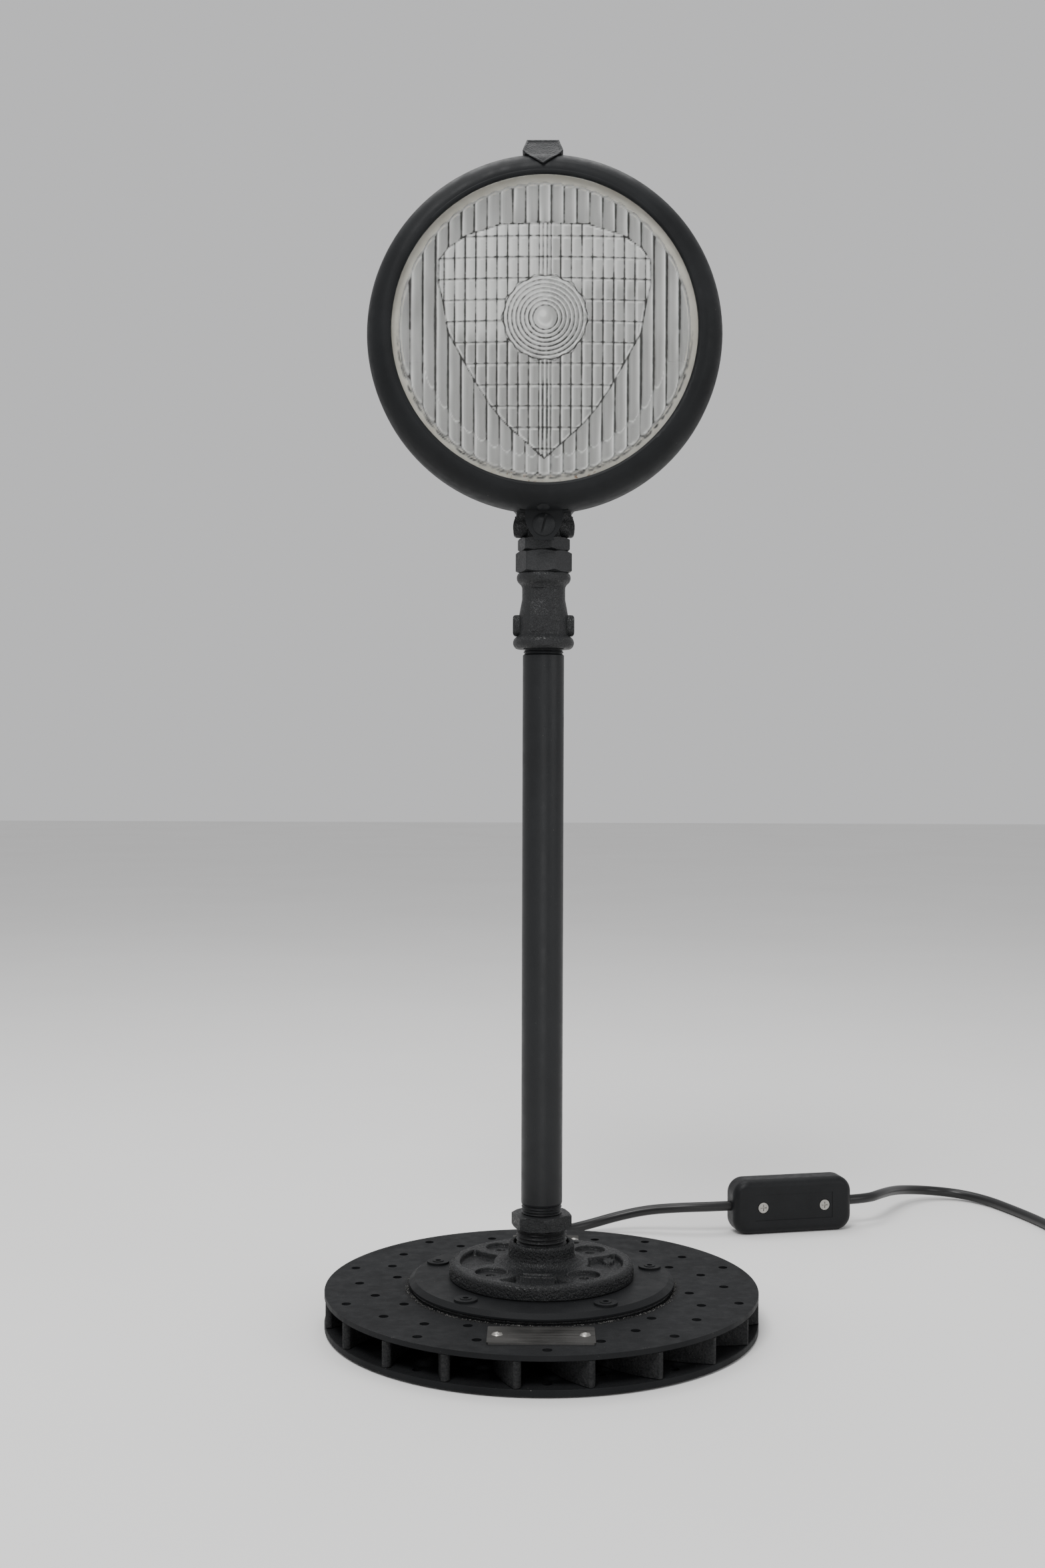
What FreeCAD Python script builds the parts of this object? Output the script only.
import FreeCAD, Part
import math
import os
import Sketcher

V = FreeCAD.Vector
ROT = FreeCAD.Rotation
PL = FreeCAD.Placement
doc = FreeCAD.newDocument("table_lamp")

# ---------------------------------------------------------------- sizes (mm)
# +Z is up, the lamp faces -Y, the origin is under the stem at table level.
sheet = doc.addObject("Spreadsheet::Sheet", "Params")
SIZES = {
    # base disc with radial vents
    "pad_height": 1.0, "disc_radius": 140.0, "disc_inner": 84.0, "disc_top": 24.9,
    "disc_upper_thick": 3.3, "disc_lower_thick": 4.3, "disc_hub_inner": 64.0, "vane_count": 20,
    "drill_radius": 3.0, "drill_groups": 10,
    # cover plate and what fixes it
    "spacer_radius": 84.4, "spacer_inner": 62.0, "cover_radius": 85.7, "cover_bottom": 27.3, "cover_top": 31.5,
    "rivet_circle": 73.6, "washer_radius": 7.3, "washer_thick": 1.4,
    # floor flange
    "flange_radius": 60.0, "flange_top": 41.0, "collar_radius": 21.5, "collar_top": 54.4,
    "flange_hole_circle": 41.8, "flange_hole_radius": 2.8, "flange_cbore_radius": 10.0,
    # reducing bushing, pipe and bell reducer
    "bushing_hex": 20.2, "bushing_hex_bottom": 63.2, "bushing_hex_top": 72.2, "bushing_thread": 16.4,
    "pipe_radius": 13.35, "pipe_bore": 10.6, "pipe_bottom": 61.0, "pipe_top": 450.0,
    "reducer_bottom": 437.3, "reducer_top": 486.2, "reducer_bead": 19.7, "reducer_top_bead": 17.4,
    # swivel
    "nipple_hex": 18.5, "nipple_hex_top": 500.0, "shank_radius": 6.0, "shank_bore": 3.9,
    "lock_hex": 17.4, "lock_top": 508.4, "pivot_height": 517.5, "eye_radius": 6.5, "eye_half_width": 10.4,
    # head
    "head_height": 635.0, "bowl_radius": 107.5, "bowl_wall": 1.2, "bezel_radius": 112.45, "bezel_front": 39.5,
    "bezel_opening": 95.8, "lens_radius": 98.6,
    # plates
    "plate_width": 64.0, "plate_depth": 30.4, "plate_thick": 1.2,
    # cord and switch
    "cord_radius": 3.75, "switch_length": 96.0, "switch_height": 42.0, "switch_depth": 24.0,
    "coil_middle": 37.5, "coil_height": 15.0,
}
for i, (k, val) in enumerate(SIZES.items()):
    sheet.set("A%d" % (i + 1), k)
    sheet.set("B%d" % (i + 1), str(val))
    sheet.setAlias("B%d" % (i + 1), k)
doc.recompute()


class Q:
    """A size read from the sheet: mul * cell + add, as a value and as an expression."""

    def __init__(self, name, add=0.0, mul=1.0):
        self.v = getattr(sheet, name) * mul + add
        self.e = "Params.%s * %.9g + %.9g" % (name, mul, add)

    def __neg__(self):
        n = Q.__new__(Q)
        n.v = -self.v
        n.e = "-(%s)" % self.e
        return n


def val(q):
    return q.v if isinstance(q, Q) else float(q)


def bind(obj, prop, q):
    if isinstance(q, Q):
        setattr(obj, prop, q.v)
        obj.setExpression(prop, q.e)
    else:
        setattr(obj, prop, q)


KEEP = []


def keep(obj, label, place=None):
    obj.Label = label
    if place is not None:
        obj.Placement = place
    KEEP.append((label, obj))
    return obj


def plane_of(body, role):
    for o in body.Origin.OriginFeatures:
        if o.Role == role:
            return o


def new_body(name):
    return doc.addObject("PartDesign::Body", name + "_body")


def sketch_on(body, role, name, offset=0.0):
    sk = body.newObject("Sketcher::SketchObject", name)
    sk.AttachmentSupport = [(plane_of(body, role), "")]
    sk.MapMode = "FlatFace"
    if isinstance(offset, Q) or offset:
        sk.AttachmentOffset = PL(V(0, 0, val(offset)), ROT())
        if isinstance(offset, Q):
            sk.setExpression(".AttachmentOffset.Base.z", offset.e)
    return sk


def pin_vertex(sk, geo, pos, x, y):
    """Holds one vertex at (x, y) from the sketch origin, tied to the sheet where the size comes from it."""
    if abs(val(x)) < 1e-9:
        sk.addConstraint(Sketcher.Constraint("PointOnObject", geo, pos, -2))
    else:
        n = sk.addConstraint(Sketcher.Constraint("DistanceX", -1, 1, geo, pos, val(x)))
        if isinstance(x, Q):
            sk.setExpression("Constraints[%d]" % n, x.e)
    if abs(val(y)) < 1e-9:
        sk.addConstraint(Sketcher.Constraint("PointOnObject", geo, pos, -1))
    else:
        n = sk.addConstraint(Sketcher.Constraint("DistanceY", -1, 1, geo, pos, val(y)))
        if isinstance(y, Q):
            sk.setExpression("Constraints[%d]" % n, y.e)


def outline(sk, pts, pinned=True):
    """Closed outline. A point is (x, y); an arc's middle is ("arc", x, y) between two points."""
    corners = [p for p in pts]
    edges = []
    i = 0
    n = len(corners)
    while i < n:
        a = corners[i]
        b = corners[(i + 1) % n]
        if b[0] == "arc":
            c = corners[(i + 2) % n]
            edges.append((a, b, c))
            i += 2
        else:
            edges.append((a, None, b))
            i += 1
    first = sk.GeometryCount
    ends = []
    for a, m, b in edges:
        va, vb = V(val(a[0]), val(a[1]), 0), V(val(b[0]), val(b[1]), 0)
        if m is None:
            g = sk.addGeometry(Part.LineSegment(va, vb), False)
            ends.append((g, 1, 2))
        else:
            # arcs are always drawn counterclockwise, so their ends keep their order in the sketch
            vm = V(val(m[1]), val(m[2]), 0)
            if ((vm - va).cross(vb - vm)).z > 0:
                ends.append((sk.addGeometry(Part.Arc(va, vm, vb), False), 1, 2))
            else:
                ends.append((sk.addGeometry(Part.Arc(vb, vm, va), False), 2, 1))
    if pinned:
        k = len(edges)
        for j in range(k):
            g, s, e = ends[j]
            g2, s2, e2 = ends[(j + 1) % k]
            sk.addConstraint(Sketcher.Constraint("Coincident", g, e, g2, s2))
        for j in range(k):
            g, s, e = ends[j]
            pin_vertex(sk, g, s, edges[j][0][0], edges[j][0][1])
    return first


def circle(sk, x, y, r):
    g = sk.addGeometry(Part.Circle(V(val(x), val(y), 0), V(0, 0, 1), val(r)), False)
    pin_vertex(sk, g, 3, x, y)
    n = sk.addConstraint(Sketcher.Constraint("Radius", g, val(r)))
    if isinstance(r, Q):
        sk.setExpression("Constraints[%d]" % n, r.e)
    return g


def revolve(body, pts, name="profile"):
    """Profile in the XZ plane (x = radius, y = height), turned about Z."""
    sk = sketch_on(body, "XZ_Plane", name)
    outline(sk, pts)
    doc.recompute()
    rv = body.newObject("PartDesign::Revolution", name + "_turn")
    rv.Profile = sk
    rv.ReferenceAxis = (sk, ["V_Axis"])
    rv.Angle = 360.0
    body.Tip = rv
    return rv


def pad(body, draw, z0, height, name, role="XY_Plane"):
    sk = sketch_on(body, role, name, z0)
    draw(sk)
    doc.recompute()
    p = body.newObject("PartDesign::Pad", name + "_pad")
    p.Profile = sk
    bind(p, "Length", height)
    body.Tip = p
    return p


def pocket(body, draw, z0, depth, name, role="XY_Plane", reverse=True):
    """Cuts upwards from z0 by depth (reverse=True) or downwards."""
    doc.recompute()
    before = body.Shape.Volume
    sk = sketch_on(body, role, name, z0)
    draw(sk)
    doc.recompute()
    p = body.newObject("PartDesign::Pocket", name + "_cut")
    p.Profile = sk
    bind(p, "Length", depth)
    p.Reversed = reverse
    body.Tip = p
    doc.recompute()
    if not body.Shape.Volume < before - 0.01:
        raise RuntimeError("pocket %s cuts nothing" % name)
    return p


def polar(body, feats, count, name):
    pp = body.newObject("PartDesign::PolarPattern", name)
    pp.Originals = feats
    pp.Axis = (plane_of(body, "Z_Axis"), [""])
    pp.Angle = 360.0
    if isinstance(count, Q):
        pp.Occurrences = int(count.v)
        pp.setExpression("Occurrences", count.e)
    else:
        pp.Occurrences = count
    body.Tip = pp
    doc.recompute()
    return pp


def at(radius, deg):
    """Point at an angle from the front (-Y), positive towards +X."""
    a = math.radians(deg)
    return radius * math.sin(a), -radius * math.cos(a)


def prim(kind, name, **props):
    o = doc.addObject("Part::" + kind, name)
    place = props.pop("Placement", None)
    for k, q in props.items():
        bind(o, k, q)
    if place is not None:
        o.Placement = place
    return o


def cyl(name, r, h, base=(0, 0, 0), rot=None):
    return prim("Cylinder", name, Radius=r, Height=h, Placement=PL(V(*base), rot or ROT()))


def box(name, x0, y0, z0, x1, y1, z1):
    return prim("Box", name, Length=x1 - x0, Width=y1 - y0, Height=z1 - z0, Placement=PL(V(x0, y0, z0), ROT()))


def cut(name, a, b):
    o = doc.addObject("Part::Cut", name)
    o.Base, o.Tool = a, b
    return o


def common(name, a, b):
    o = doc.addObject("Part::Common", name)
    o.Base, o.Tool = a, b
    return o


def fuse(name, *objs):
    o = doc.addObject("Part::MultiFuse", name)
    o.Shapes = list(objs)
    return o


def hexagon(name, radius, z0, z1, first_deg, chamfer=1.2, bore=None, low=True, high=True):
    """Hexagon prism with turned chamfers; first_deg is a corner's angle from the front."""
    h = val(z1) - val(z0)
    p = prim("Prism", name + "_prism", Circumradius=radius, Height=h, Polygon=6,
             Placement=PL(V(0, 0, val(z0)), ROT(V(0, 0, 1), first_deg - 90)))
    p.setExpression("Circumradius", radius.e)
    b = new_body(name + "_turn")
    c = chamfer
    r = val(radius)
    rr = r - 0.25
    pts = [(0, z0), (rr - (1.9 * c if low else 0), z0)]
    if low:
        pts.append((rr, val(z0) + c))
    pts.append((rr, val(z1) - (c if high else 0)))
    if high:
        pts.append((rr - 1.9 * c, z1))
    pts.append((0, z1))
    revolve(b, pts)
    o = common(name + "_hex", p, b)
    if bore is not None:
        o = cut(name + "_bored", o, cyl(name + "_bore", bore, h + 2, (0, 0, val(z0) - 1)))
    return o


TO_FRONT = ROT(V(1, 0, 0), 90)          # local +Z points to the front (-Y), local +Y points up
HEAD = PL(V(0, 0, val(Q("head_height"))), TO_FRONT)


def threads(z0, z1, pitch, crest, root):
    """Ring grooves of a screw thread from z0 up to z1, as outline points from the crest at z0."""
    pts = []
    n = int(round((z1 - z0) / pitch))
    for i in range(n):
        a = z0 + i * pitch
        pts += [(crest, a), (root, a + pitch * 0.42), (root, a + pitch * 0.58), (crest, a + pitch * 0.98)]
    return pts


# ================================================================= base
# anti-slip ring under the disc
b = new_body("anti_slip_ring")
revolve(b, [(126.0, 0), (136.0, 0), (136.0, Q("pad_height")), (126.0, Q("pad_height"))])
keep(b, "anti_slip_ring")

# ventilated disc: lower ring, twenty swept vanes, upper ring, ten groups of four drilled holes
LOW_TOP = 1.0 + 4.3
UP_BOTTOM = 24.9 - 3.3
b = new_body("vented_disc")
revolve(b, [(Q("disc_inner"), Q("pad_height")), (Q("disc_radius", -0.5), Q("pad_height")),
            (Q("disc_radius"), Q("pad_height", 0.5)), (Q("disc_radius"), LOW_TOP - 0.4),
            (Q("disc_radius", -0.4), LOW_TOP), (Q("disc_inner"), LOW_TOP)], "lower_ring")
doc.recompute()


def vane_line(r, start):
    """Angle of the vane's middle line at radius r: 38 degrees of sweep at the rim, 10 at the inner end."""
    steps = 40
    a = start
    rr = 138.6
    dr = (138.6 - r) / steps
    for i in range(steps):
        f = (rr - 86.0) / (138.6 - 86.0)
        sweep = 10 + 28 * f
        a -= math.degrees(math.tan(math.radians(sweep)) * dr / rr)
        rr -= dr
    return a


def vane(sk):
    def pt(r, side):
        a = vane_line(r, -5.5)
        a2 = vane_line(r - 0.5, -5.5)
        x, y = at(r, a)
        x2, y2 = at(r - 0.5, a2)
        d = V(x2 - x, y2 - y, 0).normalize()
        nrm = V(-d.y, d.x, 0)
        w = 2.7 if r > 100 else 2.3
        return (x + side * w * nrm.x, y + side * w * nrm.y)
    o0, o1, o2 = pt(138.0, 1), pt(113.0, 1), pt(87.0, 1)
    i0, i1, i2 = pt(138.0, -1), pt(113.0, -1), pt(87.0, -1)
    tip = at(139.4, vane_line(138.9, -5.5))
    outline(sk, [o0, ("arc", o1[0], o1[1]), o2, i2, ("arc", i1[0], i1[1]), i0, ("arc", tip[0], tip[1])])


v = pad(b, vane, LOW_TOP - 0.2, UP_BOTTOM - LOW_TOP + 0.4, "vane")
polar(b, [v], Q("vane_count"), "vanes")


def up_ring(sk):
    circle(sk, 0, 0, Q("disc_radius"))
    circle(sk, 0, 0, Q("disc_hub_inner"))


pad(b, up_ring, UP_BOTTOM, Q("disc_upper_thick"), "upper_ring")
HOLES = [(129.5, 1.6), (118.2, 17.3), (108.5, -4.6), (96.0, 8.6)]


def drill(sk):
    for r, a in HOLES:
        x, y = at(r, a)
        circle(sk, x, y, Q("drill_radius"))


d1 = pocket(b, drill, UP_BOTTOM - 0.1, 3.6, "drilled")
polar(b, [d1], Q("drill_groups"), "drilled_groups")
d2 = pocket(b, drill, 0.8, 4.7, "drilled_low")
polar(b, [d2], Q("drill_groups"), "drilled_low_groups")


def rivet_hole(sk):
    x, y = at(val(Q("rivet_circle")), -39.4)
    circle(sk, x, y, 3.0)


rh = pocket(b, rivet_hole, UP_BOTTOM - 0.1, 3.6, "rivet_hole")
polar(b, [rh], 5, "rivet_holes")


def plate_holes(sk):
    for x, y in ((-26.0, -105.0), (26.0, -105.0), (-16.9, 106.7), (22.9, 106.7)):
        circle(sk, x, y, 1.6)
    circle(sk, 29.0, 96.6, 1.9)


pocket(b, plate_holes, UP_BOTTOM - 0.1, 3.6, "plate_holes")
keep(b, "vented_disc")

# spacer between the disc and the cover plate
b = new_body("hub_spacer")
revolve(b, [(Q("spacer_inner"), Q("disc_top")), (Q("spacer_radius", -0.5), Q("disc_top")),
            (Q("spacer_radius"), Q("disc_top", 1.0)), (Q("spacer_radius", -0.7), Q("cover_bottom")),
            (Q("spacer_inner"), Q("cover_bottom"))])
rh = pocket(b, rivet_hole, 24.8, 2.7, "rivet_hole")
polar(b, [rh], 5, "rivet_holes")
keep(b, "hub_spacer")

# bevelled cover plate
b = new_body("cover_plate")
revolve(b, [(11.0, Q("cover_bottom")), (Q("cover_radius", -0.4), Q("cover_bottom")),
            (Q("cover_radius"), Q("cover_bottom", 0.4)), (Q("cover_radius"), Q("cover_bottom", 1.5)),
            (Q("cover_radius", -3.6), Q("cover_top")), (11.0, Q("cover_top"))])
rh = pocket(b, rivet_hole, 27.2, 4.4, "rivet_hole")
polar(b, [rh], 5, "rivet_holes")


def flange_screw_hole(sk):
    x, y = at(41.8, -50)
    circle(sk, x, y, 2.3)


fh = pocket(b, flange_screw_hole, 27.2, 4.4, "flange_screw_hole")
polar(b, [fh], 4, "flange_screw_holes")
keep(b, "cover_plate")

# five washers and tubular rivets through cover, spacer and disc
parts_w, parts_r = [], []
for k in range(5):
    x, y = at(73.6, -39.4 + 72 * k)
    w = cyl("washer_%d" % k, Q("washer_radius"), Q("washer_thick"), (x, y, 31.5))
    parts_w.append(cut("washer_ring_%d" % k, w, cyl("washer_hole_%d" % k, 3.0, 4, (x, y, 30.5))))
    stem = cyl("rivet_stem_%d" % k, 2.9, 12.0, (x, y, 21.0))
    head = cyl("rivet_head_%d" % k, 4.6, 1.2, (x, y, 20.4))
    roll = cyl("rivet_roll_%d" % k, 3.7, 0.4, (x, y, 32.9))
    parts_r.append(cut("rivet_%d" % k, fuse("rivet_full_%d" % k, stem, head, roll), cyl("rivet_bore_%d" % k, 1.9, 20, (x, y, 18))))
keep(fuse("cover_washers_all", *parts_w), "cover_washers")
keep(fuse("cover_rivets_all", *parts_r), "cover_rivets")

# cast floor flange: rim, collar, four counterbored pads and four pockets between them
b = new_body("floor_flange")
revolve(b, [(16.15, Q("cover_top")), (Q("flange_radius", -0.4), Q("cover_top")), (Q("flange_radius"), Q("cover_top", 1.5)),
            (Q("flange_radius", -0.5), Q("flange_top", -3.0)), ("arc", 59.0, 40.2), (Q("flange_radius", -3.4), Q("flange_top")),
            (28.5, Q("flange_top")), ("arc", 23.4, 42.3), (Q("collar_radius"), Q("flange_top", 5.5)),
            (Q("collar_radius"), Q("collar_top", -2.4)), (Q("collar_radius", -2.0), Q("collar_top")),
            (18.4, Q("collar_top")), (17.3, Q("collar_top", -1.4)), (17.3, 51.6), (16.15, 50.4)])


def cast_pockets(sk):
    # between two pads, outside the collar's foot and inside the rim
    for k in range(4):
        t = -5.0 + 90 * k
        p0, p1, p2 = at(30.5, t - 16), at(44.0, t - 20.5), at(51.5, t - 26)
        m = at(53.0, t)
        p3, p4, p5 = at(51.5, t + 26), at(44.0, t + 20.5), at(30.5, t + 16)
        n = at(30.5, t)
        outline(sk, [p0, p1, p2, ("arc", m[0], m[1]), p3, p4, p5, ("arc", n[0], n[1])])


pocket(b, cast_pockets, Q("flange_top", -3.6), 5.0, "cast_pockets")


def cbores(sk):
    for k in range(4):
        x, y = at(41.8, -50 + 90 * k)
        circle(sk, x, y, Q("flange_cbore_radius"))


pocket(b, cbores, Q("flange_top", -2.2), 3.0, "counterbores")


def fholes(sk):
    for k in range(4):
        x, y = at(41.8, -50 + 90 * k)
        circle(sk, x, y, Q("flange_hole_radius"))


pocket(b, fholes, 31.0, 9.0, "screw_holes")
keep(b, "floor_flange")

# screws that hold the flange from below: heads under the cover plate, ends sunk in the flange's holes
scr = []
for k in range(4):
    x, y = at(41.8, -50 + 90 * k)
    head = cyl("flange_screw_head_%d" % k, 4.4, 2.6, (x, y, 24.7))
    shank = cyl("flange_screw_shank_%d" % k, 2.25, 9.9, (x, y, 27.3))
    slot = box("flange_screw_slot_%d" % k, x - 5, y - 0.6, 24.0, x + 5, y + 0.6, 25.9)
    scr.append(cut("flange_screw_%d" % k, fuse("flange_screw_full_%d" % k, head, shank), slot))
keep(fuse("flange_screws_all", *scr), "flange_screws")

# reducing bushing: male thread into the flange, hexagon, female thread for the pipe
b = new_body("bushing_thread")
pr = [(11.6, 42.0), (15.6, 42.0)]
pr += threads(43.0, 63.0, 2.5, 16.4, 15.1)
pr += [(15.3, 63.2), (15.3, 64.2), (11.6, 64.2)]
revolve(b, pr)
hx = hexagon("bushing", Q("bushing_hex"), 63.2, 72.2, -43.0, 1.0)
keep(cut("reducing_bushing_cut", fuse("reducing_bushing_full", b, hx), cyl("bushing_socket", 12.95, 12.0, (0, 0, 61.0))),
     "reducing_bushing")

# stem pipe with threaded ends
b = new_body("stem_pipe")
pr = [(Q("pipe_bore"), Q("pipe_bottom")), (12.3, Q("pipe_bottom"))]
pr += threads(62.0, 78.4, 1.82, 13.1, 12.2)
pr += [(Q("pipe_radius"), 79.4), (Q("pipe_radius"), 433.0)]
pr += threads(433.4, 448.0, 1.82, 13.1, 12.2)
pr += [(12.3, Q("pipe_top")), (Q("pipe_bore"), Q("pipe_top"))]
revolve(b, pr)
keep(b, "stem_pipe")

# cast bell reducer: rounded beads at both ends, a waist, two side lugs and one ground facet
b = new_body("bell_reducer")
revolve(b, [(12.95, Q("reducer_bottom")), (17.4, Q("reducer_bottom")), ("arc", Q("reducer_bead"), Q("reducer_bottom", 3.7)),
            (17.7, 444.9), (16.1, 446.2), (15.8, 459.0), ("arc", 15.1, 462.9), (13.9, 469.2), (13.9, 475.4),
            ("arc", 14.3, 477.6), (15.9, 479.5), ("arc", Q("reducer_top_bead"), 482.6), (16.7, Q("reducer_top", -0.7)),
            (15.6, Q("reducer_top")), (10.35, Q("reducer_top")), (10.35, 462.5), (9.0, 461.0),
            (9.0, Q("pipe_top")), (12.95, Q("pipe_top"))], "bell")


def rounded(sk, x0, y0, x1, y1, r):
    k = r * (1 - math.sqrt(0.5))
    outline(sk, [(x0 + r, y0), (x1 - r, y0), ("arc", x1 - k, y0 + k), (x1, y0 + r), (x1, y1 - r),
                 ("arc", x1 - k, y1 - k), (x1 - r, y1), (x0 + r, y1), ("arc", x0 + k, y1 - k), (x0, y1 - r),
                 (x0, y0 + r), ("arc", x0 + k, y0 + k)])


lug_f = new_body("reducer_lug_front")
pad(lug_f, lambda sk: rounded(sk, -19.8, 445.4, 19.8, 459.3, 2.3), -6.0, 12.0, "lug_front", "XZ_Plane")
lug_s = new_body("reducer_lug_side")
pad(lug_s, lambda sk: rounded(sk, -4.7, 445.4, 4.7, 459.3, 4.6), -21.0, 42.0, "lug_side", "YZ_Plane")
lug = common("reducer_lug", lug_f, lug_s)
lug_hole = cyl("reducer_lug_hole", 14.6, 20, (0, 0, 443))
lugs = cut("reducer_lugs", lug, lug_hole)
facet = new_body("reducer_facet")
pad(facet, lambda sk: outline(sk, [(-25.0, 445.0), (-14.75, 447.6), (-14.75, 458.6), ("arc", -14.05, 462.8),
                                   (-12.9, 469.0), (-12.9, 476.0), (-25.0, 478.5)]), -12.0, 24.0, "facet", "YZ_Plane")
facet.Placement = PL(V(0, 0, 0), ROT(V(0, 0, 1), -13))
keep(cut("bell_reducer_all", fuse("bell_reducer_full", b, lugs), facet), "bell_reducer")

# threaded nipple with hexagon, screwed into the reducer; the shank turns in its bore
b = new_body("nipple_thread")
pr = [(6.05, 474.0), (9.8, 474.0)] + threads(474.6, 485.5, 1.82, 10.5, 9.7) + [(10.0, 486.3), (10.0, 488.0), (6.05, 488.0)]
revolve(b, pr)
hx = hexagon("nipple", Q("nipple_hex"), 486.2, 500.0, -37.0, 1.3, 6.05)
keep(fuse("hex_nipple_all", b, hx), "hex_nipple")

# cable through vent, hub and pipe
R_IN = 2.6


def corner_arcs(points, closed_r=None):
    """Straight runs joined by tangent arcs of 0.45 of the shorter run; returns the wire and the radii."""
    pts = [V(*p) for p in points]
    edges = []
    radii = []
    start = pts[0]
    for i in range(1, len(pts) - 1):
        a, c, d = pts[i - 1], pts[i], pts[i + 1]
        u = (a - c)
        w = (d - c)
        lu, lw = u.Length, w.Length
        u.normalize()
        w.normalize()
        turn = math.pi - u.getAngle(w)
        t_len = 0.45 * min(lu, lw)
        rad = t_len / math.tan(turn / 2)
        radii.append(rad)
        p1 = c + u * t_len
        p2 = c + w * t_len
        bis = (u + w)
        bis.normalize()
        dist = rad / math.cos(turn / 2)
        mid = c + bis * (dist - rad)
        edges.append(Part.LineSegment(start, p1).toShape())
        edges.append(Part.Arc(p1, mid, p2).toShape())
        start = p2
    edges.append(Part.LineSegment(start, pts[-1]).toShape())
    return Part.Wire(edges), radii


def tube(label, points, radius):
    """Plain round lead along a route, its size read from the sheet where it is the mains lead."""
    r = val(radius)
    wire, radii = corner_arcs(points)
    d = V(*points[1]) - V(*points[0])
    prof = Part.Wire([Part.Circle(V(*points[0]), d, r).toShape()])
    shape = wire.makePipeShell([prof], True, True)
    if shape.ShapeType != "Solid":
        shape = Part.Solid(shape.Shells[0]) if shape.Shells else shape
    o = doc.addObject("Part::Feature", label + "_lead")
    o.Shape = shape
    o.Placement = PL(V(0, 0, 0), ROT())
    keep(o, label)
    if radii:
        print("%s: length %.0f, radii %s, volume ratio %.4f" % (label, wire.Length, ["%.0f" % x for x in radii],
                                                       shape.Volume / (math.pi * r * r * wire.Length)))
    return wire.Length


tube("stem_cable", [(0, 123.8, 13.45), (8, 108, 13.45), (13, 92, 13.45), (10, 60, 13.45), (4, 32, 14), (0.5, 12, 18),
                    (0, 1.5, 32), (0, 0, 60), (0, 0.6, 200), (0, 0, 340), (0, 0, 462.8)], R_IN)

# strain relief: block held between the two rings, tapered tail on the lead
p1 = prim("Box", "gland_block", Length=18.0, Width=14.0, Height=UP_BOTTOM - LOW_TOP, Placement=PL(V(-9, 124, LOW_TOP), ROT()))
p2 = prim("Cone", "gland_tail", Radius1=6.0, Radius2=4.4, Height=25.0,
          Placement=PL(V(0, 138, 13.45), ROT(V(1, 0, 0), -90)))
keep(fuse("cord_gland_all", p1, p2), "cord_gland")

# ================================================================= plates
def flat_plate(label, xc, yc, wx, wy, t, holes, r=1.2):
    bb = new_body(label)
    x0, x1, y0, y1 = -wx / 2, wx / 2, -wy / 2, wy / 2

    def draw(sk):
        k = r * (1 - math.sqrt(0.5))
        outline(sk, [(x0 + r, y0), (x1 - r, y0), ("arc", x1 - k, y0 + k), (x1, y0 + r), (x1, y1 - r),
                     ("arc", x1 - k, y1 - k), (x1 - r, y1), (x0 + r, y1), ("arc", x0 + k, y1 - k), (x0, y1 - r),
                     (x0, y0 + r), ("arc", x0 + k, y0 + k)])
        for hx_, hy_ in holes:
            circle(sk, hx_, hy_, 1.6)
    pad(bb, draw, 0, t, "plate")
    keep(bb, label, PL(V(xc, yc, 24.9), ROT()))


def dome_screws(label, spots, head_r, head_h, z, shank_r=1.5, shank_l=4.4):
    out = []
    for i, (x, y) in enumerate(spots):
        R = (head_r * head_r + head_h * head_h) / (2 * head_h)
        s = prim("Sphere", "%s_dome_%d" % (label, i), Radius=R, Placement=PL(V(x, y, z + head_h - R), ROT()))
        c = cyl("%s_disc_%d" % (label, i), head_r + 1, head_h + 1, (x, y, z))
        d = common("%s_head_%d" % (label, i), s, c)
        sl = box("%s_slot_%d" % (label, i), x - head_r, y - 0.45, z + head_h - 0.8, x + head_r, y + 0.45, z + head_h + 1)
        d = cut("%s_slotted_%d" % (label, i), d, sl)
        sh = cyl("%s_shank_%d" % (label, i), shank_r, shank_l, (x, y, z - shank_l))
        out.append(fuse("%s_one_%d" % (label, i), d, sh))
    keep(fuse(label + "_all", *out), label)


flat_plate("front_plate", 0, -105.0, 64.0, 30.4, Q("plate_thick"), [(-26, 0), (26, 0)])
dome_screws("front_plate_screws", [(-26, -105), (26, -105)], 3.5, 1.7, 26.1)
flat_plate("rear_plate", 3.0, 106.7, 46.6, 23.6, Q("plate_thick"), [(-19.9, 0), (19.9, 0)])
dome_screws("rear_plate_screws", [(-16.9, 106.7), (22.9, 106.7)], 3.2, 1.6, 26.1)

# ================================================================= swivel
PZ = val(Q("pivot_height"))
eye = cyl("eye_round", Q("eye_radius"), Q("eye_half_width", 0, 2), (-10.4, 0, PZ), ROT(V(0, 1, 0), 90))
web = box("eye_web", -10.4, -6.5, 508.4, 10.4, 6.5, PZ)
shank = cyl("eye_shank", Q("shank_radius"), 44.6, (0, 0, 464.0))
eye_all = fuse("eye_full", eye, web, shank)
bores = fuse("eye_bores",
             cyl("eye_bore", Q("shank_bore"), 70, (0, 0, 460)),
             box("eye_slot", -3.9, -4.6, 512.5, 3.9, 4.6, 530),
             cyl("eye_cross_bore", 2.5, 30, (-15, 0, PZ), ROT(V(0, 1, 0), 90)))
keep(cut("swivel_eye_all", eye_all, bores), "swivel_eye")
keep(hexagon("lock_nut", Q("lock_hex"), 500.3, 508.4, -43.0, 0.9, 5.94), "lock_nut")
b = new_body("spring_washer")
revolve(b, [(6.1, 471.9), (9.6, 471.9), (9.6, 473.7), (6.1, 473.7)])
keep(b, "spring_washer")
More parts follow.
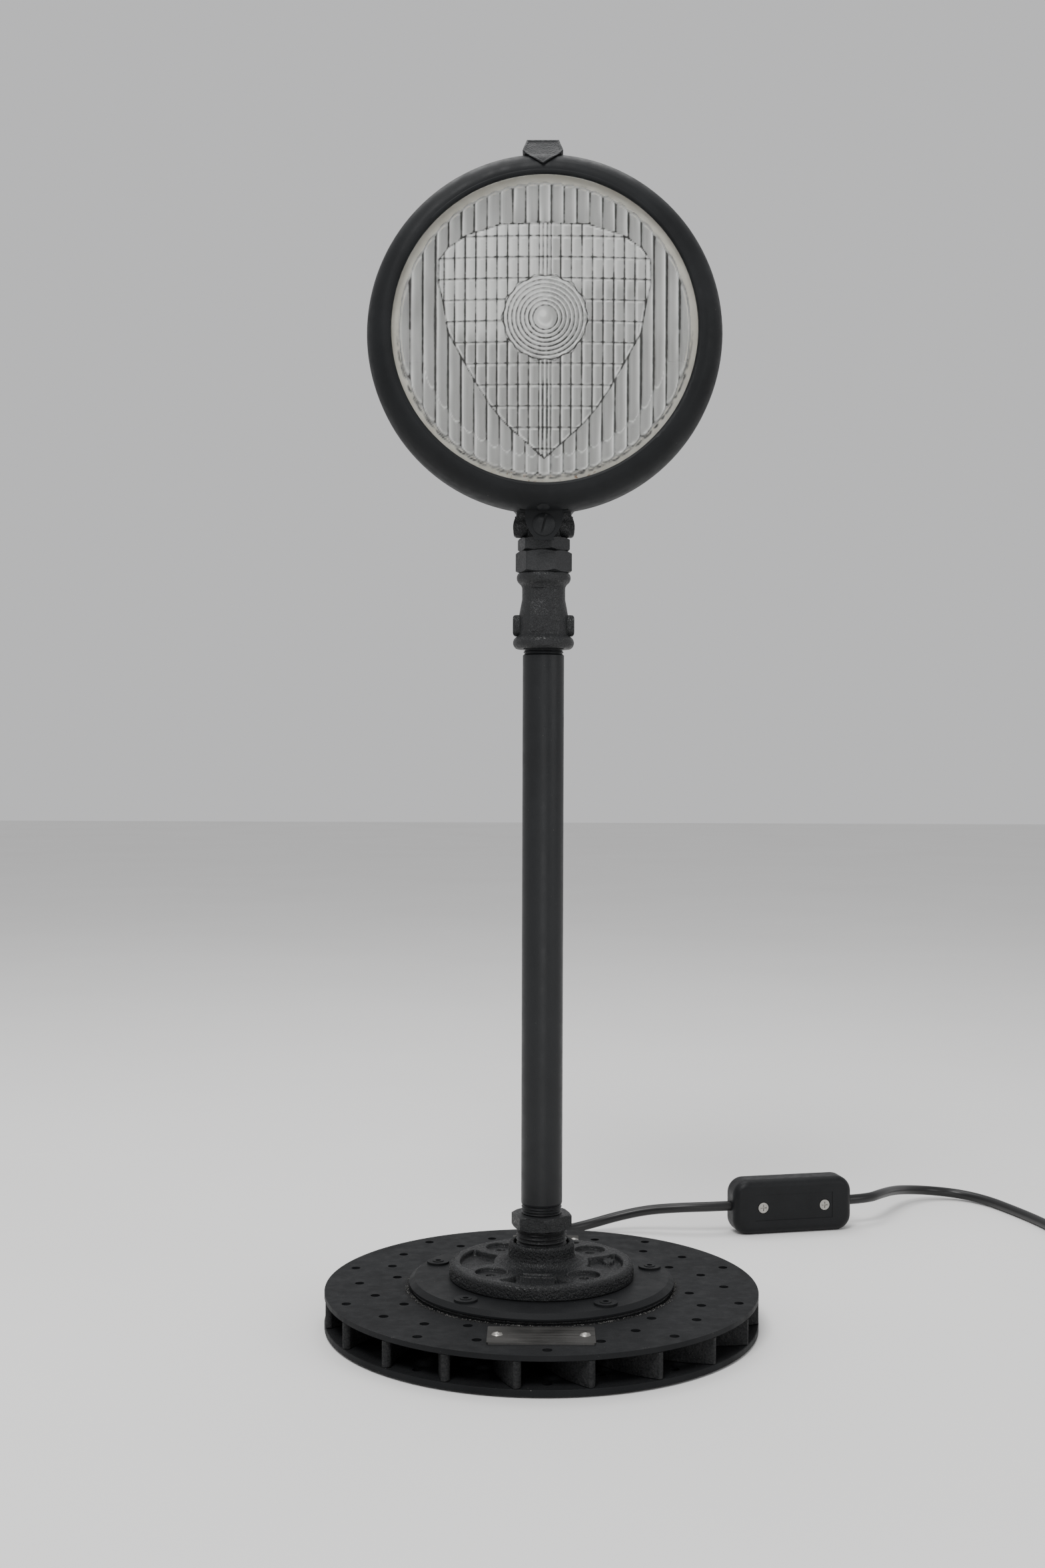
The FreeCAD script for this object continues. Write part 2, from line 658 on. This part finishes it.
keep(hexagon("retaining_nut", Q("shank_radius", 3.7), 465.4, 471.9, 0.0, 0.8, 5.94), "retaining_nut")
tube("swivel_cable", [(0, 0, 463.2), (0, 0, 511.0)], R_IN)

# ================================================================= head
# cast foot: pad under the bowl and two bulbous ears beside the eye, boss for the rim screw in front
side = new_body("foot_side")


def foot_side(sk):
    # side view, x = local Y, y = height above the pivot; drawn on the YZ plane
    outline(sk, [(-13.0, 12.5), (-12.5, 7.2), ("arc", -9.6, 5.0), (-8.4, 1.8), ("arc", 0, -8.6), (8.4, 1.8),
                 ("arc", 12.5, 5.4), (22.0, 7.4), (24.0, 12.5), (24.0, 20.0), (-13.0, 20.0)])


p = pad(side, foot_side, -21.0, 42.0, "foot_side", "YZ_Plane")
side.Placement = PL(V(0, 0, PZ), ROT())
front = new_body("foot_front")


def foot_front(sk):
    # front view of the ears and the pad, x = X, y = height above the pivot
    outline(sk, [(10.8, -8.6), (16.2, -8.6), ("arc", 19.2, -7.0), (19.6, -5.0), ("arc", 19.4, 0.5), (17.3, 5.2),
                 ("arc", 17.6, 7.6), (20.5, 12.0), (20.5, 20.0), (-20.5, 20.0), (-20.5, 12.0), ("arc", -17.6, 7.6),
                 (-17.3, 5.2), ("arc", -19.4, 0.5), (-19.6, -5.0), ("arc", -19.2, -7.0), (-16.2, -8.6), (-10.8, -8.6),
                 (-10.8, 6.8), (10.8, 6.8)])


pad(front, foot_front, -26.0, 52.0, "foot_front", "XZ_Plane")
front.Placement = PL(V(0, 0, PZ), ROT())
foot = common("foot_shape", side, front)
boss = cyl("rim_boss", 2.6, 14.0, (0, -9.0, PZ - 2.8), ROT(V(1, 0, 0), 90))
boss_web = box("rim_boss_web", -2.6, -22.4, PZ - 2.8, 2.6, -9.5, PZ + 3.4)
boss_arm = box("rim_boss_arm", -8.0, -13.0, PZ + 2.6, 8.0, -8.6, PZ + 8.0)
foot = fuse("foot_with_boss", foot, boss, boss_web, boss_arm)
sph = new_body("foot_bowl_seat")
sr = val(Q("bowl_radius", 0.03))
revolve(sph, [(0, -sr), ("arc", sr * math.cos(math.pi / 4), -sr * math.cos(math.pi / 4)), (sr, 0),
              (sr + 0.8, 12.5), (0, 12.5)])
sph.Placement = HEAD
skirt_clear = cyl("foot_skirt_clear", 112.9, 24.0, (0, -12.4, 635.0), ROT(V(1, 0, 0), 90))
tools = fuse("foot_tools", sph, skirt_clear,
             cyl("foot_cable_bore", 5.0, 30, (0, 0, PZ + 4)),
             cyl("foot_pivot_bore", 3.02, 60, (-30, 0, PZ), ROT(V(0, 1, 0), 90)),
             cyl("foot_cap_left", 5.3, 8, (-24.7, 0, PZ), ROT(V(0, 1, 0), 90)),
             cyl("foot_cap_right", 5.3, 8, (16.7, 0, PZ), ROT(V(0, 1, 0), 90)),
             cyl("foot_screw_a", 2.05, 20, (0, 13.5, PZ + 1), ROT()),
             cyl("rim_screw_bore", 1.55, 12, (0, -12.0, PZ - 2.8), ROT(V(1, 0, 0), 90)),
             cyl("eye_sweep", 6.8, 21.6, (-10.8, 0, PZ), ROT(V(0, 1, 0), 90)))
keep(cut("head_foot_all", foot, tools), "head_foot")

# pivot screws: one through each ear into the eye, slotted ends in the ears' recesses
piv = []
for s in (-1, 1):
    inner = cyl("pivot_tip_%d" % (s + 1), 2.45, 4.6, (s * 5.0 if s > 0 else -9.6, 0, PZ), ROT(V(0, 1, 0), 90))
    mid = cyl("pivot_mid_%d" % (s + 1), 3.0, 6.4, (10.6 if s > 0 else -17.0, 0, PZ), ROT(V(0, 1, 0), 90))
    neck = cyl("pivot_neck_%d" % (s + 1), 2.45, 1.2, (9.5 if s > 0 else -10.7, 0, PZ), ROT(V(0, 1, 0), 90))
    head = cyl("pivot_head_%d" % (s + 1), 5.2, 2.0, (16.7 if s > 0 else -18.7, 0, PZ), ROT(V(0, 1, 0), 90))
    slot = box("pivot_slot_%d" % (s + 1), 17.7 if s > 0 else -19.7, -0.6, PZ - 6, 19.7 if s > 0 else -17.7, 0.6, PZ + 6)
    piv.append(cut("pivot_%d" % (s + 1), fuse("pivot_full_%d" % (s + 1), inner, neck, mid, head), slot))
keep(fuse("pivot_screws_all", *piv), "pivot_screws")

# bowl: half sphere with a short skirt and a flange inside the bezel
b = new_body("head_bowl")
Rb = val(Q("bowl_radius"))
c45 = math.cos(math.radians(45))
Ri = Rb - 1.2
revolve(b, [(0, Q("bowl_radius", 0, -1)), ("arc", Rb * c45, -Rb * c45), (Q("bowl_radius"), 0), (108.3, 13.0),
            (111.2, 13.0), (111.2, 14.2), (107.1, 14.2), (Ri, 0), ("arc", Ri * c45, -Ri * c45),
            (0, Q("bowl_radius", -1.2, -1))])
doc.recompute()
bowl_t = fuse("bowl_holes", cyl("bowl_cable_hole", 5.0, 12, (0, 0, 524)), cyl("bowl_screw_hole", 2.2, 12, (0, 13.5, 524)))
b.Placement = HEAD
keep(cut("head_bowl_all", b, bowl_t), "head_bowl")

# screw that holds the foot to the bowl from inside
fs = fuse("foot_screw_full", cyl("foot_screw_shank", 2.0, 6.8, (0, 13.5, 523.6)), cyl("foot_screw_head", 4.0, 2.4, (0, 13.5, 530.45)))
keep(fs, "foot_screw")
b = new_body("bowl_grommet")
revolve(b, [(3.2, 525.0), (4.7, 525.0), (4.7, 529.2), (7.0, 529.2), (7.0, 530.6), (3.2, 530.6)])
keep(b, "bowl_grommet")

# bezel: domed ring with a rolled lip, a short skirt over the bowl's flange and a slot for the rim tab
b = new_body("bezel")
ro, zo = 112.45, 20.0
a, c = 13.4, 19.5      # the dome's half axes: radius 112.45 to 99.05, depth 20 to 39.5
pts = [(Q("bezel_radius"), 12.8), (Q("bezel_radius"), zo)]
ang = math.radians(30)
pts += [("arc", 99.05 + a * math.cos(math.radians(16)), zo + c * math.sin(math.radians(16))),
        (99.05 + a * math.cos(ang), zo + c * math.sin(ang))]
pts += [("arc", 99.05 + a * math.cos(math.radians(50)), zo + c * math.sin(math.radians(50))),
        (99.05 + a * math.cos(math.radians(70)), zo + c * math.sin(math.radians(70)))]
pts += [("arc", 99.05 + a * math.cos(math.radians(82)), zo + c * math.sin(math.radians(82)) + 0.1), (98.4, Q("bezel_front"))]
pts += [("arc", 96.4, 39.0), (Q("bezel_opening"), 37.6), (Q("bezel_opening"), 36.9), (99.0, 36.9)]
ai, ci = 12.2, 18.3
pts += [(99.05 + ai * math.cos(math.radians(70)), zo + ci * math.sin(math.radians(70)) - 1.0),
        ("arc", 99.05 + ai * math.cos(math.radians(50)), zo + ci * math.sin(math.radians(50)) - 0.4),
        (99.05 + ai * math.cos(ang), zo + ci * math.sin(ang)), (111.35, zo), (111.35, 12.8)]
revolve(b, pts)
b.Placement = HEAD
slot = box("bezel_slot", -15.4, -26.2, 519.0, 15.4, -22.6, 530.0)
rv_hole = cyl("bezel_rivet_hole", 2.0, 14, (-0.4, -30.4, 518), ROT())
keep(cut("bezel_all", b, fuse("bezel_tools", slot, rv_hole)), "bezel")

# rim tab: through the bezel's slot, tapering down to a short neck; bent forward inside the bezel
tabb = new_body("rim_tab")


def tab_draw(sk):
    outline(sk, [(-12.0, 5.0), ("arc", -10.9, -3.0), (-7.7, -8.9), (-6.1, -10.6), (-6.7, -12.6), (6.7, -12.6), (6.1, -10.6),
                 (7.7, -8.9), ("arc", 10.9, -3.0), (12.0, 5.0), (12.0, 11.4), (-12.0, 11.4)])


pad(tabb, tab_draw, -0.8, 1.6, "tab", "XZ_Plane")
tabb.Placement = PL(V(0, -23.8, PZ), ROT())
flap = box("tab_flap", -9.0, -33.0, PZ + 10.3, 9.0, -23.0, PZ + 11.5)
holes = fuse("tab_holes", cyl("tab_hole", 1.9, 6, (0, -21, PZ - 2.8), ROT(V(1, 0, 0), 90)), cyl("tab_rivet_hole", 2.05, 20, (-0.4, -30.4, 518)))
keep(cut("rim_tab_all", fuse("rim_tab_full", tabb, flap), holes), "rim_tab")

# slotted rim screw
b = new_body("rim_screw_turn")
revolve(b, [(0, 0), (2.95, 0), (2.95, 0.1), (2.95, 0.9), (0, 0.9)])
b.Placement = PL(V(0, -24.6, PZ - 2.8), TO_FRONT)
b2 = new_body("rim_screw_dome")
revolve(b2, [(0, 0), (7.1, 0), (7.1, 0.5), ("arc", 4.3, 1.9), (0.6, 2.5), (0, 2.5)])
b2.Placement = PL(V(0, -24.6, PZ - 2.8), TO_FRONT)
shank = cyl("rim_screw_shank", 1.5, 11.0, (0, -13.7, PZ - 2.8), ROT(V(1, 0, 0), 90))
rs_slot = box("rim_screw_slot", -0.7, -1, -8, 0.7, 1, 8)
rs_slot.Placement = PL(V(0, -26.9, PZ - 2.8), ROT(V(0, 1, 0), 14)).multiply(PL(V(-0.7, -0.6, -8), ROT()))
keep(cut("rim_screw_all", fuse("rim_screw_full", b, b2, shank), rs_slot), "rim_screw")

# rivet that holds the tab inside the bezel
b = new_body("rim_rivet")
revolve(b, [(0, 0), (4.2, 0), (4.0, 0.5), ("arc", 2.4, 1.6), (0.6, 2.0), (0, 2.0)])
b.Placement = PL(V(-0.4, -30.3, 524.9), ROT(V(1, 0, 0), 180 - 23.4))
rv = fuse("rim_rivet_full", b, cyl("rim_rivet_shank", 1.9, 5.0, (-0.4, -30.4, 524.8)))
keep(rv, "rim_rivet")

# lens: domed glass with a flat edge; its pattern lies on the inside
b = new_body("lens")
revolve(b, [(0, 37.8), (4.0, 37.8), ("arc", 50.0, 36.55), (94.6, 32.6), (Q("lens_radius"), 32.6), (Q("lens_radius"), 36.9), (95.4, 36.9),
            ("arc", 50.0, 41.4), (4.0, 43.2), (0, 43.2)])
keep(b, "lens", HEAD)
b = new_body("lens_seal")
revolve(b, [(89.6, 30.5), (98.8, 30.5), (98.8, 32.6), (89.6, 32.6)])
keep(b, "lens_seal", HEAD)

# reflector: parabola of 27 mm focal length, open at the back for the lampholder
b = new_body("reflector")


def para(r, off=0.0):
    return -60.75 + r * r / 108.0 + off


pts = [(18.0, para(18.0)), ("arc", 37.0, para(37.0)), (56.0, para(56.0)), ("arc", 77.0, para(77.0)), (96.0, para(96.0)),
       (96.5, 29.6), (100.4, 29.6), (100.4, 30.5), (95.6, 30.5), (94.9, para(96.0, 1.0)),
       ("arc", 76.2, para(77.0, 0.85)), (55.4, para(56.0, 0.85)), ("arc", 36.6, para(37.0, 0.85)), (18.0, para(18.0, 0.9))]
revolve(b, pts)
keep(b, "reflector", HEAD)

# four spring clips that press reflector and lens into the bezel
clips = []
for k in range(4):
    a0 = 45 + 90 * k
    bx = prim("Box", "clip_bar_%d" % k, Length=14.0, Width=12.1, Height=1.0, Placement=PL(V(-7, 97.0, 28.6), ROT()))
    by = prim("Box", "clip_leg_%d" % k, Length=14.0, Width=1.0, Height=9.0, Placement=PL(V(-7, 106.0, 20.2), ROT()))
    f = fuse("clip_%d" % k, bx, by)
    f.Placement = PL(V(0, 0, 635.0), TO_FRONT).multiply(PL(V(0, 0, 0), ROT(V(0, 0, 1), a0)))
    clips.append(f)
keep(fuse("lens_clips_all", *clips), "lens_clips")

# lampholder, its ring in the reflector, bulb cap and bulb
b = new_body("holder_ring")
revolve(b, [(16.2, -60.6), (24.0, -60.6), (24.0, -59.2), (17.8, -59.2), (17.8, -55.0), (16.2, -55.0)])
keep(b, "holder_ring", HEAD)
b = new_body("lampholder")
revolve(b, [(0, -82.0), (8.0, -82.0), (13.0, -79.0), (16.0, -74.0), (16.0, -44.0), (14.0, -44.0), (14.0, -68.0), (0, -68.0)])
keep(b, "lampholder", HEAD)
b = new_body("bulb_cap")
revolve(b, [(0, -67.6), (4.5, -67.6), (6.0, -65.4), (10.0, -64.0), (13.2, -62.0), (13.2, -40.0), (12.4, -38.4), (0, -38.4)])
keep(b, "bulb_cap", HEAD)
b = new_body("bulb")
revolve(b, [(0, -38.3), (12.2, -38.3), (14.5, -30.0), ("arc", 21.0, -20.5), (26.5, -12.0), ("arc", 27.2, 13.2), (3.0, 27.0), (0, 27.0)])
keep(b, "bulb", HEAD)

# cable from the foot to the lampholder
tube("head_cable", [(0, 0, 524.6), (0, 0.6, 533), (0, 5, 543), (0, 18, 551), (0, 38, 557), (0, 58, 569), (0, 74, 588),
                    (0, 83.5, 607), (0, 88.8, 622), (0, 88.2, 632.5), (0, 83.9, 634.7)], R_IN)

# badge at the top of the bezel: upright crest with a shield face
bd = new_body("badge")


def crest(sk):
    outline(sk, [(-13.2, 747.2), ("arc", -11.2, 750.2), (-10.1, 757.3), (10.1, 757.3), ("arc", 11.2, 750.2), (13.2, 747.2),
                 (13.2, 744.5), (-13.2, 744.5)])


pad(bd, crest, -1.6, 3.2, "crest", "XZ_Plane")
bd.Placement = PL(V(-1.4, -20.6, 0), ROT())
# shield face: a skin of the dome inside the shield's outline as seen from the front


def dome_line(extra, first, last):
    """Points of the bezel's outer curve grown by extra, from angle first to last in degrees, as two arcs."""
    mid = (first + last) / 2
    out = []
    for i, t in enumerate((first, (first + mid) / 2, mid, (mid + last) / 2, last)):
        x = 99.05 + (a + extra) * math.cos(math.radians(t))
        y = zo + (c + extra) * math.sin(math.radians(t))
        out.append(("arc", x, y) if i in (1, 3) else (x, y))
    return out


skin = new_body("badge_skin")
revolve(skin, dome_line(1.3, 4, 88) + dome_line(0.32, 88, 4))
skin.Placement = HEAD
sh = new_body("badge_shield")


def shield(sk):
    outline(sk, [(-13.0, 747.4), (-12.4, 742.2), ("arc", -8.6, 738.6), (0, 736.4), ("arc", 8.6, 738.6), (12.4, 742.2),
                 (13.0, 747.4), (13.0, 752.0), (-13.0, 752.0)])


pad(sh, shield, 0, 30.0, "shield", "XZ_Plane")
sh.Placement = PL(V(-1.4, -15.0, 0), ROT())
face = common("badge_face", skin, sh)
b = new_body("badge_cut")
revolve(b, [(0, 0), (112.76, 0), (112.76, 20.0)] + dome_line(0.32, 4, 88)[1:] + [(98.0, 39.9), (0, 39.9)])
b.Placement = HEAD
keep(fuse("badge_all", cut("badge_crest", bd, b), face), "badge")

# ================================================================= switch on the lead
SW_YAW = 13.0
SW = PL(V(192.6, 238.6, 21.0), ROT(V(0, 0, 1), SW_YAW).multiply(TO_FRONT))   # local x along the lead, y up, z to the front


def round_rect(sk, w, h, r):
    x0, x1, y0, y1 = -w / 2, w / 2, -h / 2, h / 2
    k = r * (1 - math.sqrt(0.5))
    outline(sk, [(x0 + r, y0), (x1 - r, y0), ("arc", x1 - k, y0 + k), (x1, y0 + r), (x1, y1 - r),
                 ("arc", x1 - k, y1 - k), (x1 - r, y1), (x0 + r, y1), ("arc", x0 + k, y1 - k), (x0, y1 - r),
                 (x0, y0 + r), ("arc", x0 + k, y0 + k)])


def shell_half(label, direction):
    bb = new_body(label)
    sk = sketch_on(bb, "XY_Plane", "rim")
    round_rect(sk, 96.0, 42.0, 12.0)
    doc.recompute()
    p = bb.newObject("PartDesign::Pad", "shell_pad")
    p.Profile = sk
    bind(p, "Length", Q("switch_depth", 0, 0.5))
    p.Reversed = direction < 0
    bb.Tip = p
    doc.recompute()
    face = max(p.Shape.Faces, key=lambda f: direction * f.CenterOfMass.z)
    names = []
    for i, e in enumerate(p.Shape.Edges):
        if all(abs(vv.Z - direction * 12.0) < 1e-6 for vv in e.Vertexes):
            names.append("Edge%d" % (i + 1))
    fl = bb.newObject("PartDesign::Fillet", "shell_round")
    fl.Base = (p, names)
    fl.Radius = 6.5
    bb.Tip = fl
    doc.recompute()
    sk2 = sketch_on(bb, "XY_Plane", "inside")
    round_rect(sk2, 91.6, 37.6, 9.8)
    doc.recompute()
    pk = bb.newObject("PartDesign::Pocket", "inside_cut")
    pk.Profile = sk2
    bind(pk, "Length", Q("switch_depth", -3.0, 0.5))
    pk.Reversed = direction > 0
    bb.Tip = pk
    doc.recompute()
    if bb.Shape.Volume > fl.Shape.Volume * 0.7:
        raise RuntimeError("shell is not hollow")
    return bb


def in_switch(o):
    o.Placement = SW.multiply(o.Placement)
    return o


# back shell, towards the viewer: recessed panel, two screw wells
back = shell_half("switch_back", 1)
panel = box("panel_recess", -31.5, -10.0, 11.6, 31.5, 10.0, 13.0)
wells = []
for s in (-1, 1):
    wells.append(cyl("well_%d" % (s + 1), 4.5, 3.0, (s * 25.0, 0, 10.2)))
    wells.append(cyl("well_thread_%d" % (s + 1), 1.75, 30.0, (s * 25.0, 0, -4)))
posts = [cut("post_%d" % (s + 1), cyl("post_full_%d" % (s + 1), 5.6, 10.0, (s * 25.0, 0, 0.1)),
             cyl("post_hole_%d" % (s + 1), 1.75, 30.0, (s * 25.0, 0, -4))) for s in (-1, 1)]
entry = cyl("entry_back", 3.8, 130, (-65, 0, 0), ROT(V(0, 1, 0), 90))
keep(in_switch(cut("switch_back_all", fuse("switch_back_posts", cut("switch_back_cut", back, fuse("back_tools", panel, wells[0], wells[2], entry)), *posts),
                   fuse("wells_again", cyl("wa", 4.5, 3.0, (-25, 0, 10.2)), cyl("wb", 4.5, 3.0, (25, 0, 10.2)),
                        cyl("wc", 1.75, 30.0, (-25, 0, -4)), cyl("wd", 1.75, 30.0, (25, 0, -4))))), "switch_back_shell")

# front shell, away from the viewer: opening for the rocker, bearing ribs for its pin
frontb = shell_half("switch_front", -1)
hole = box("rocker_hole", -12.0, -6.6, -13.0, 12.0, 6.6, -8.0)
entry2 = cyl("entry_front", 3.8, 130, (-65, 0, 0), ROT(V(0, 1, 0), 90))
posts2 = [cyl("fpost_%d" % (s + 1), 5.6, 10.0, (s * 25.0, 0, -10.1)) for s in (-1, 1)]
ribs = [box("rib_%d" % (s + 1), -3.0, 8.4 * s - 1.4, -10.2, 3.0, 8.4 * s + 1.4, -3.6) for s in (-1, 1)]
fbody = fuse("switch_front_posts", cut("switch_front_cut", frontb, fuse("front_tools", hole, entry2)), *posts2, *ribs)
keep(in_switch(cut("switch_front_all", fbody,
                   fuse("front_bores", cyl("fa", 1.45, 9.0, (-25, 0, -8.6)), cyl("fb", 1.45, 9.0, (25, 0, -8.6)),
                        cyl("pin_bore", 1.05, 22.0, (0, -11.0, -7.0), ROT(V(1, 0, 0), -90))))), "switch_front_shell")

# cross-head screws
sc = []
for s in (-1, 1):
    h_ = cyl("sw_screw_head_%d" % (s + 1), 4.0, 1.5, (s * 25.0, 0, 10.2))
    sh_ = cyl("sw_screw_shank_%d" % (s + 1), 1.4, 18.0, (s * 25.0, 0, -7.8))
    x1 = box("sw_cross_a_%d" % (s + 1), s * 25.0 - 2.4, -0.45, 10.8, s * 25.0 + 2.4, 0.45, 12.5)
    x2 = box("sw_cross_b_%d" % (s + 1), s * 25.0 - 0.45, -2.4, 10.8, s * 25.0 + 0.45, 2.4, 12.5)
    sc.append(cut("sw_screw_%d" % (s + 1), fuse("sw_screw_full_%d" % (s + 1), h_, sh_), fuse("sw_cross_%d" % (s + 1), x1, x2)))
keep(in_switch(fuse("switch_screws_all", *sc)), "switch_screws")

# rocker and its pin; at rest the rocker is pressed on one side
rk = new_body("rocker")


def rocker_side(sk):
    # x along the switch, y = height over the pin, outwards
    outline(sk, [(-10.4, 8.0), (-9.0, 2.0), (-4.0, -2.6), (4.0, -2.6), (9.0, 2.0), (10.4, 8.0), ("arc", 5.4, 6.9), (0, 6.4),
                 ("arc", -5.4, 6.9)])


pad(rk, rocker_side, -6.2, 12.4, "rocker", "XZ_Plane")
rk_c = cut("rocker_bored", rk, cyl("rocker_bore", 1.05, 20, (0, -10, 0), ROT(V(1, 0, 0), -90)))
# local frame of the rocker: its XZ plane to the switch's x and -z
rk_pl = PL(V(0, 0, -7.0), ROT(V(1, 0, 0), 180)).multiply(PL(V(0, 0, 0), ROT(V(0, 1, 0), 8.0)))
rk_c.Placement = rk_pl
keep(in_switch(rk_c), "switch_rocker")
keep(in_switch(cyl("rocker_pin_rod", 1.0, 19.6, (0, -9.8, -7.0), ROT(V(1, 0, 0), -90))), "rocker_pin")

# brass terminals and cord clamps inside
t1 = box("terminal_a", -18.0, 10.2, -9.0, -6.0, 16.0, 4.0)
t2 = box("terminal_b", 6.0, 10.2, -9.0, 18.0, 16.0, 4.0)
t3 = box("terminal_c", -14.0, -16.0, -9.0, 14.0, -11.5, 4.0)
keep(in_switch(fuse("switch_terminals_all", t1, t2, t3)), "switch_terminals")
c1 = box("clamp_a", -41.7, -8.0, -9.0, -35.6, 8.0, 9.0)
c2 = box("clamp_b", 35.6, -8.0, -9.0, 41.7, 8.0, 9.0)
keep(in_switch(fuse("cord_clamps_all", c1, c2)), "cord_clamps")

# ================================================================= cord
uy = (math.cos(math.radians(SW_YAW)), math.sin(math.radians(SW_YAW)))


def sw_pt(x):
    return (192.6 + x * uy[0], 238.6 + x * uy[1], 21.0)


ROUTE_A = [(0, 163.0, 13.45), (1.0, 179.5, 11.4), (6.5, 198.5, 7.2), (18.5, 215.5, 4.6), (37.5, 226.0, 6.6), (58.5, 230.0, 11.8),
           (82.0, 229.0, 17.2), (107.0, 224.5, 20.2), sw_pt(-61.0), sw_pt(-41.7)]
ROUTE_B = [sw_pt(41.7), sw_pt(65.0), (271.5, 275.5, 19.9), (286.0, 302.5, 16.0), (302.0, 325.5, 11.2), (323.5, 339.0, 7.4),
           (348.0, 337.5, 5.2), (367.0, 319.0, 4.2), (379.5, 290.0, 3.8), (390.5, 258.5, 3.8), (398.2, 227.0, 3.8), (402.6, 196.0, 3.8),
           (403.5, 173.0, 3.8), (403.5, 156.0, 3.8)]
LA = tube("lead_to_switch", ROUTE_A, Q("cord_radius"))
LB = tube("lead_to_coil", ROUTE_B, Q("cord_radius"))

# coil of the put-away length, and its tie
CX, CY = 448.5, 140.0
b = new_body("lead_coil")
revolve(b, [(Q("coil_middle", -11.3), 1.4), (Q("coil_middle", -9.9), 0), (Q("coil_middle", 9.9), 0), (Q("coil_middle", 11.3), 1.4),
            (Q("coil_middle", 11.3), Q("coil_height", -1.4)), (Q("coil_middle", 9.9), Q("coil_height")),
            (Q("coil_middle", -9.9), Q("coil_height")), (Q("coil_middle", -11.3), Q("coil_height", -1.4))])
keep(b, "lead_coil", PL(V(CX, CY, 0), ROT()))
outer = box("tie_outer", -13.0, -3.0, 0.0, 13.0, 3.0, 16.4)
inner = box("tie_inner", -11.6, -4.0, -1.0, 11.6, 4.0, 15.1)
o = cut("coil_tie_cut", outer, inner)
o.Placement = PL(V(CX, CY, 0), ROT(V(0, 0, 1), 60)).multiply(PL(V(37.5, 0, 0), ROT()))
keep(o, "coil_tie")

# tail and round earthed plug
S45 = math.sin(math.radians(45))
tx, ty = CX - 45.0 * S45, CY - 45.0 * S45


def tail_pt(along, z):
    return (tx + S45 * along, ty - S45 * along, z)


ROUTE_C = [tail_pt(19.0, 3.8), tail_pt(34.0, 4.2), tail_pt(52.0, 8.4), tail_pt(71.0, 15.0), tail_pt(90.0, 18.9), tail_pt(104.0, 19.0)]
LC = tube("lead_to_plug", ROUTE_C, Q("cord_radius"))
PLUG = PL(V(*tail_pt(104.0, 19.0)), ROT(V(0, 0, 1), -45.0).multiply(ROT(V(0, 1, 0), 90)))     # local z along the plug, away from the lead
pb = new_body("plug")
revolve(pb, [(0, 0), (4.6, 0), (5.6, 13.0), ("arc", 8.6, 21.0), (15.6, 24.6), (18.4, 25.6), (19.0, 26.6), (19.0, 43.4), (18.4, 44.0),
             (0, 44.0)])
cuts = []
for i in (-1, 1):
    cuts.append(box("plug_groove_%d" % (i + 1), -3.4, 16.6 if i > 0 else -20.0, 28.0, 3.4, 20.0 if i > 0 else -16.6, 46.0))
    cuts.append(cyl("plug_pin_hole_%d" % (i + 1), 2.4, 12.0, (i * 9.5, 0, 36.0)))
pl = cut("plug_body_all", pb, fuse("plug_tools", *cuts))
pl.Placement = PLUG
keep(pl, "plug_body")
pins = [fuse("plug_pin_%d" % (i + 1), cyl("plug_pin_rod_%d" % (i + 1), 2.4, 26.2, (i * 9.5, 0, 36.0)),
             prim("Cone", "plug_pin_tip_%d" % (i + 1), Radius1=2.4, Radius2=1.2, Height=0.9, Placement=PL(V(i * 9.5, 0, 62.2), ROT())))
        for i in (-1, 1)]
pf = fuse("plug_pins_all", *pins)
pf.Placement = PLUG
keep(pf, "plug_pins")
clips_e = [box("plug_clip_%d" % (i + 1), -2.2, 16.6 if i > 0 else -17.4, 28.0, 2.2, 17.4 if i > 0 else -16.6, 43.6) for i in (-1, 1)]
ce = fuse("plug_clips_all", *clips_e)
ce.Placement = PLUG
keep(ce, "plug_earth_clips")

# ================================================================= checks and output
doc.recompute()
bad = []
for o in doc.Objects:
    if any(s in o.State for s in ("Invalid", "Error")):
        bad.append("%s %s" % (o.Name, o.State))
if bad:
    raise RuntimeError("failed objects: " + "; ".join(bad))
os.makedirs("parts", exist_ok=True)
seen = set()
for label, o in KEEP:
    s = o.Shape
    if s.isNull() or not s.isValid() or not s.Solids:
        raise RuntimeError("bad shape: " + label)
    if label in seen:
        raise RuntimeError("label used twice: " + label)
    seen.add(label)
for label, o in KEEP:
    o.Shape.exportStep("parts/%s.step" % label)
turns = 5.125
coil_length = turns * 2 * math.pi * 37.5
print("nodes", len(KEEP))
print("lead lengths: to switch %.0f, to coil %.0f, coil %.0f, tail %.0f, total %.0f"
      % (LA, LB, coil_length, LC, LA + LB + coil_length + LC))
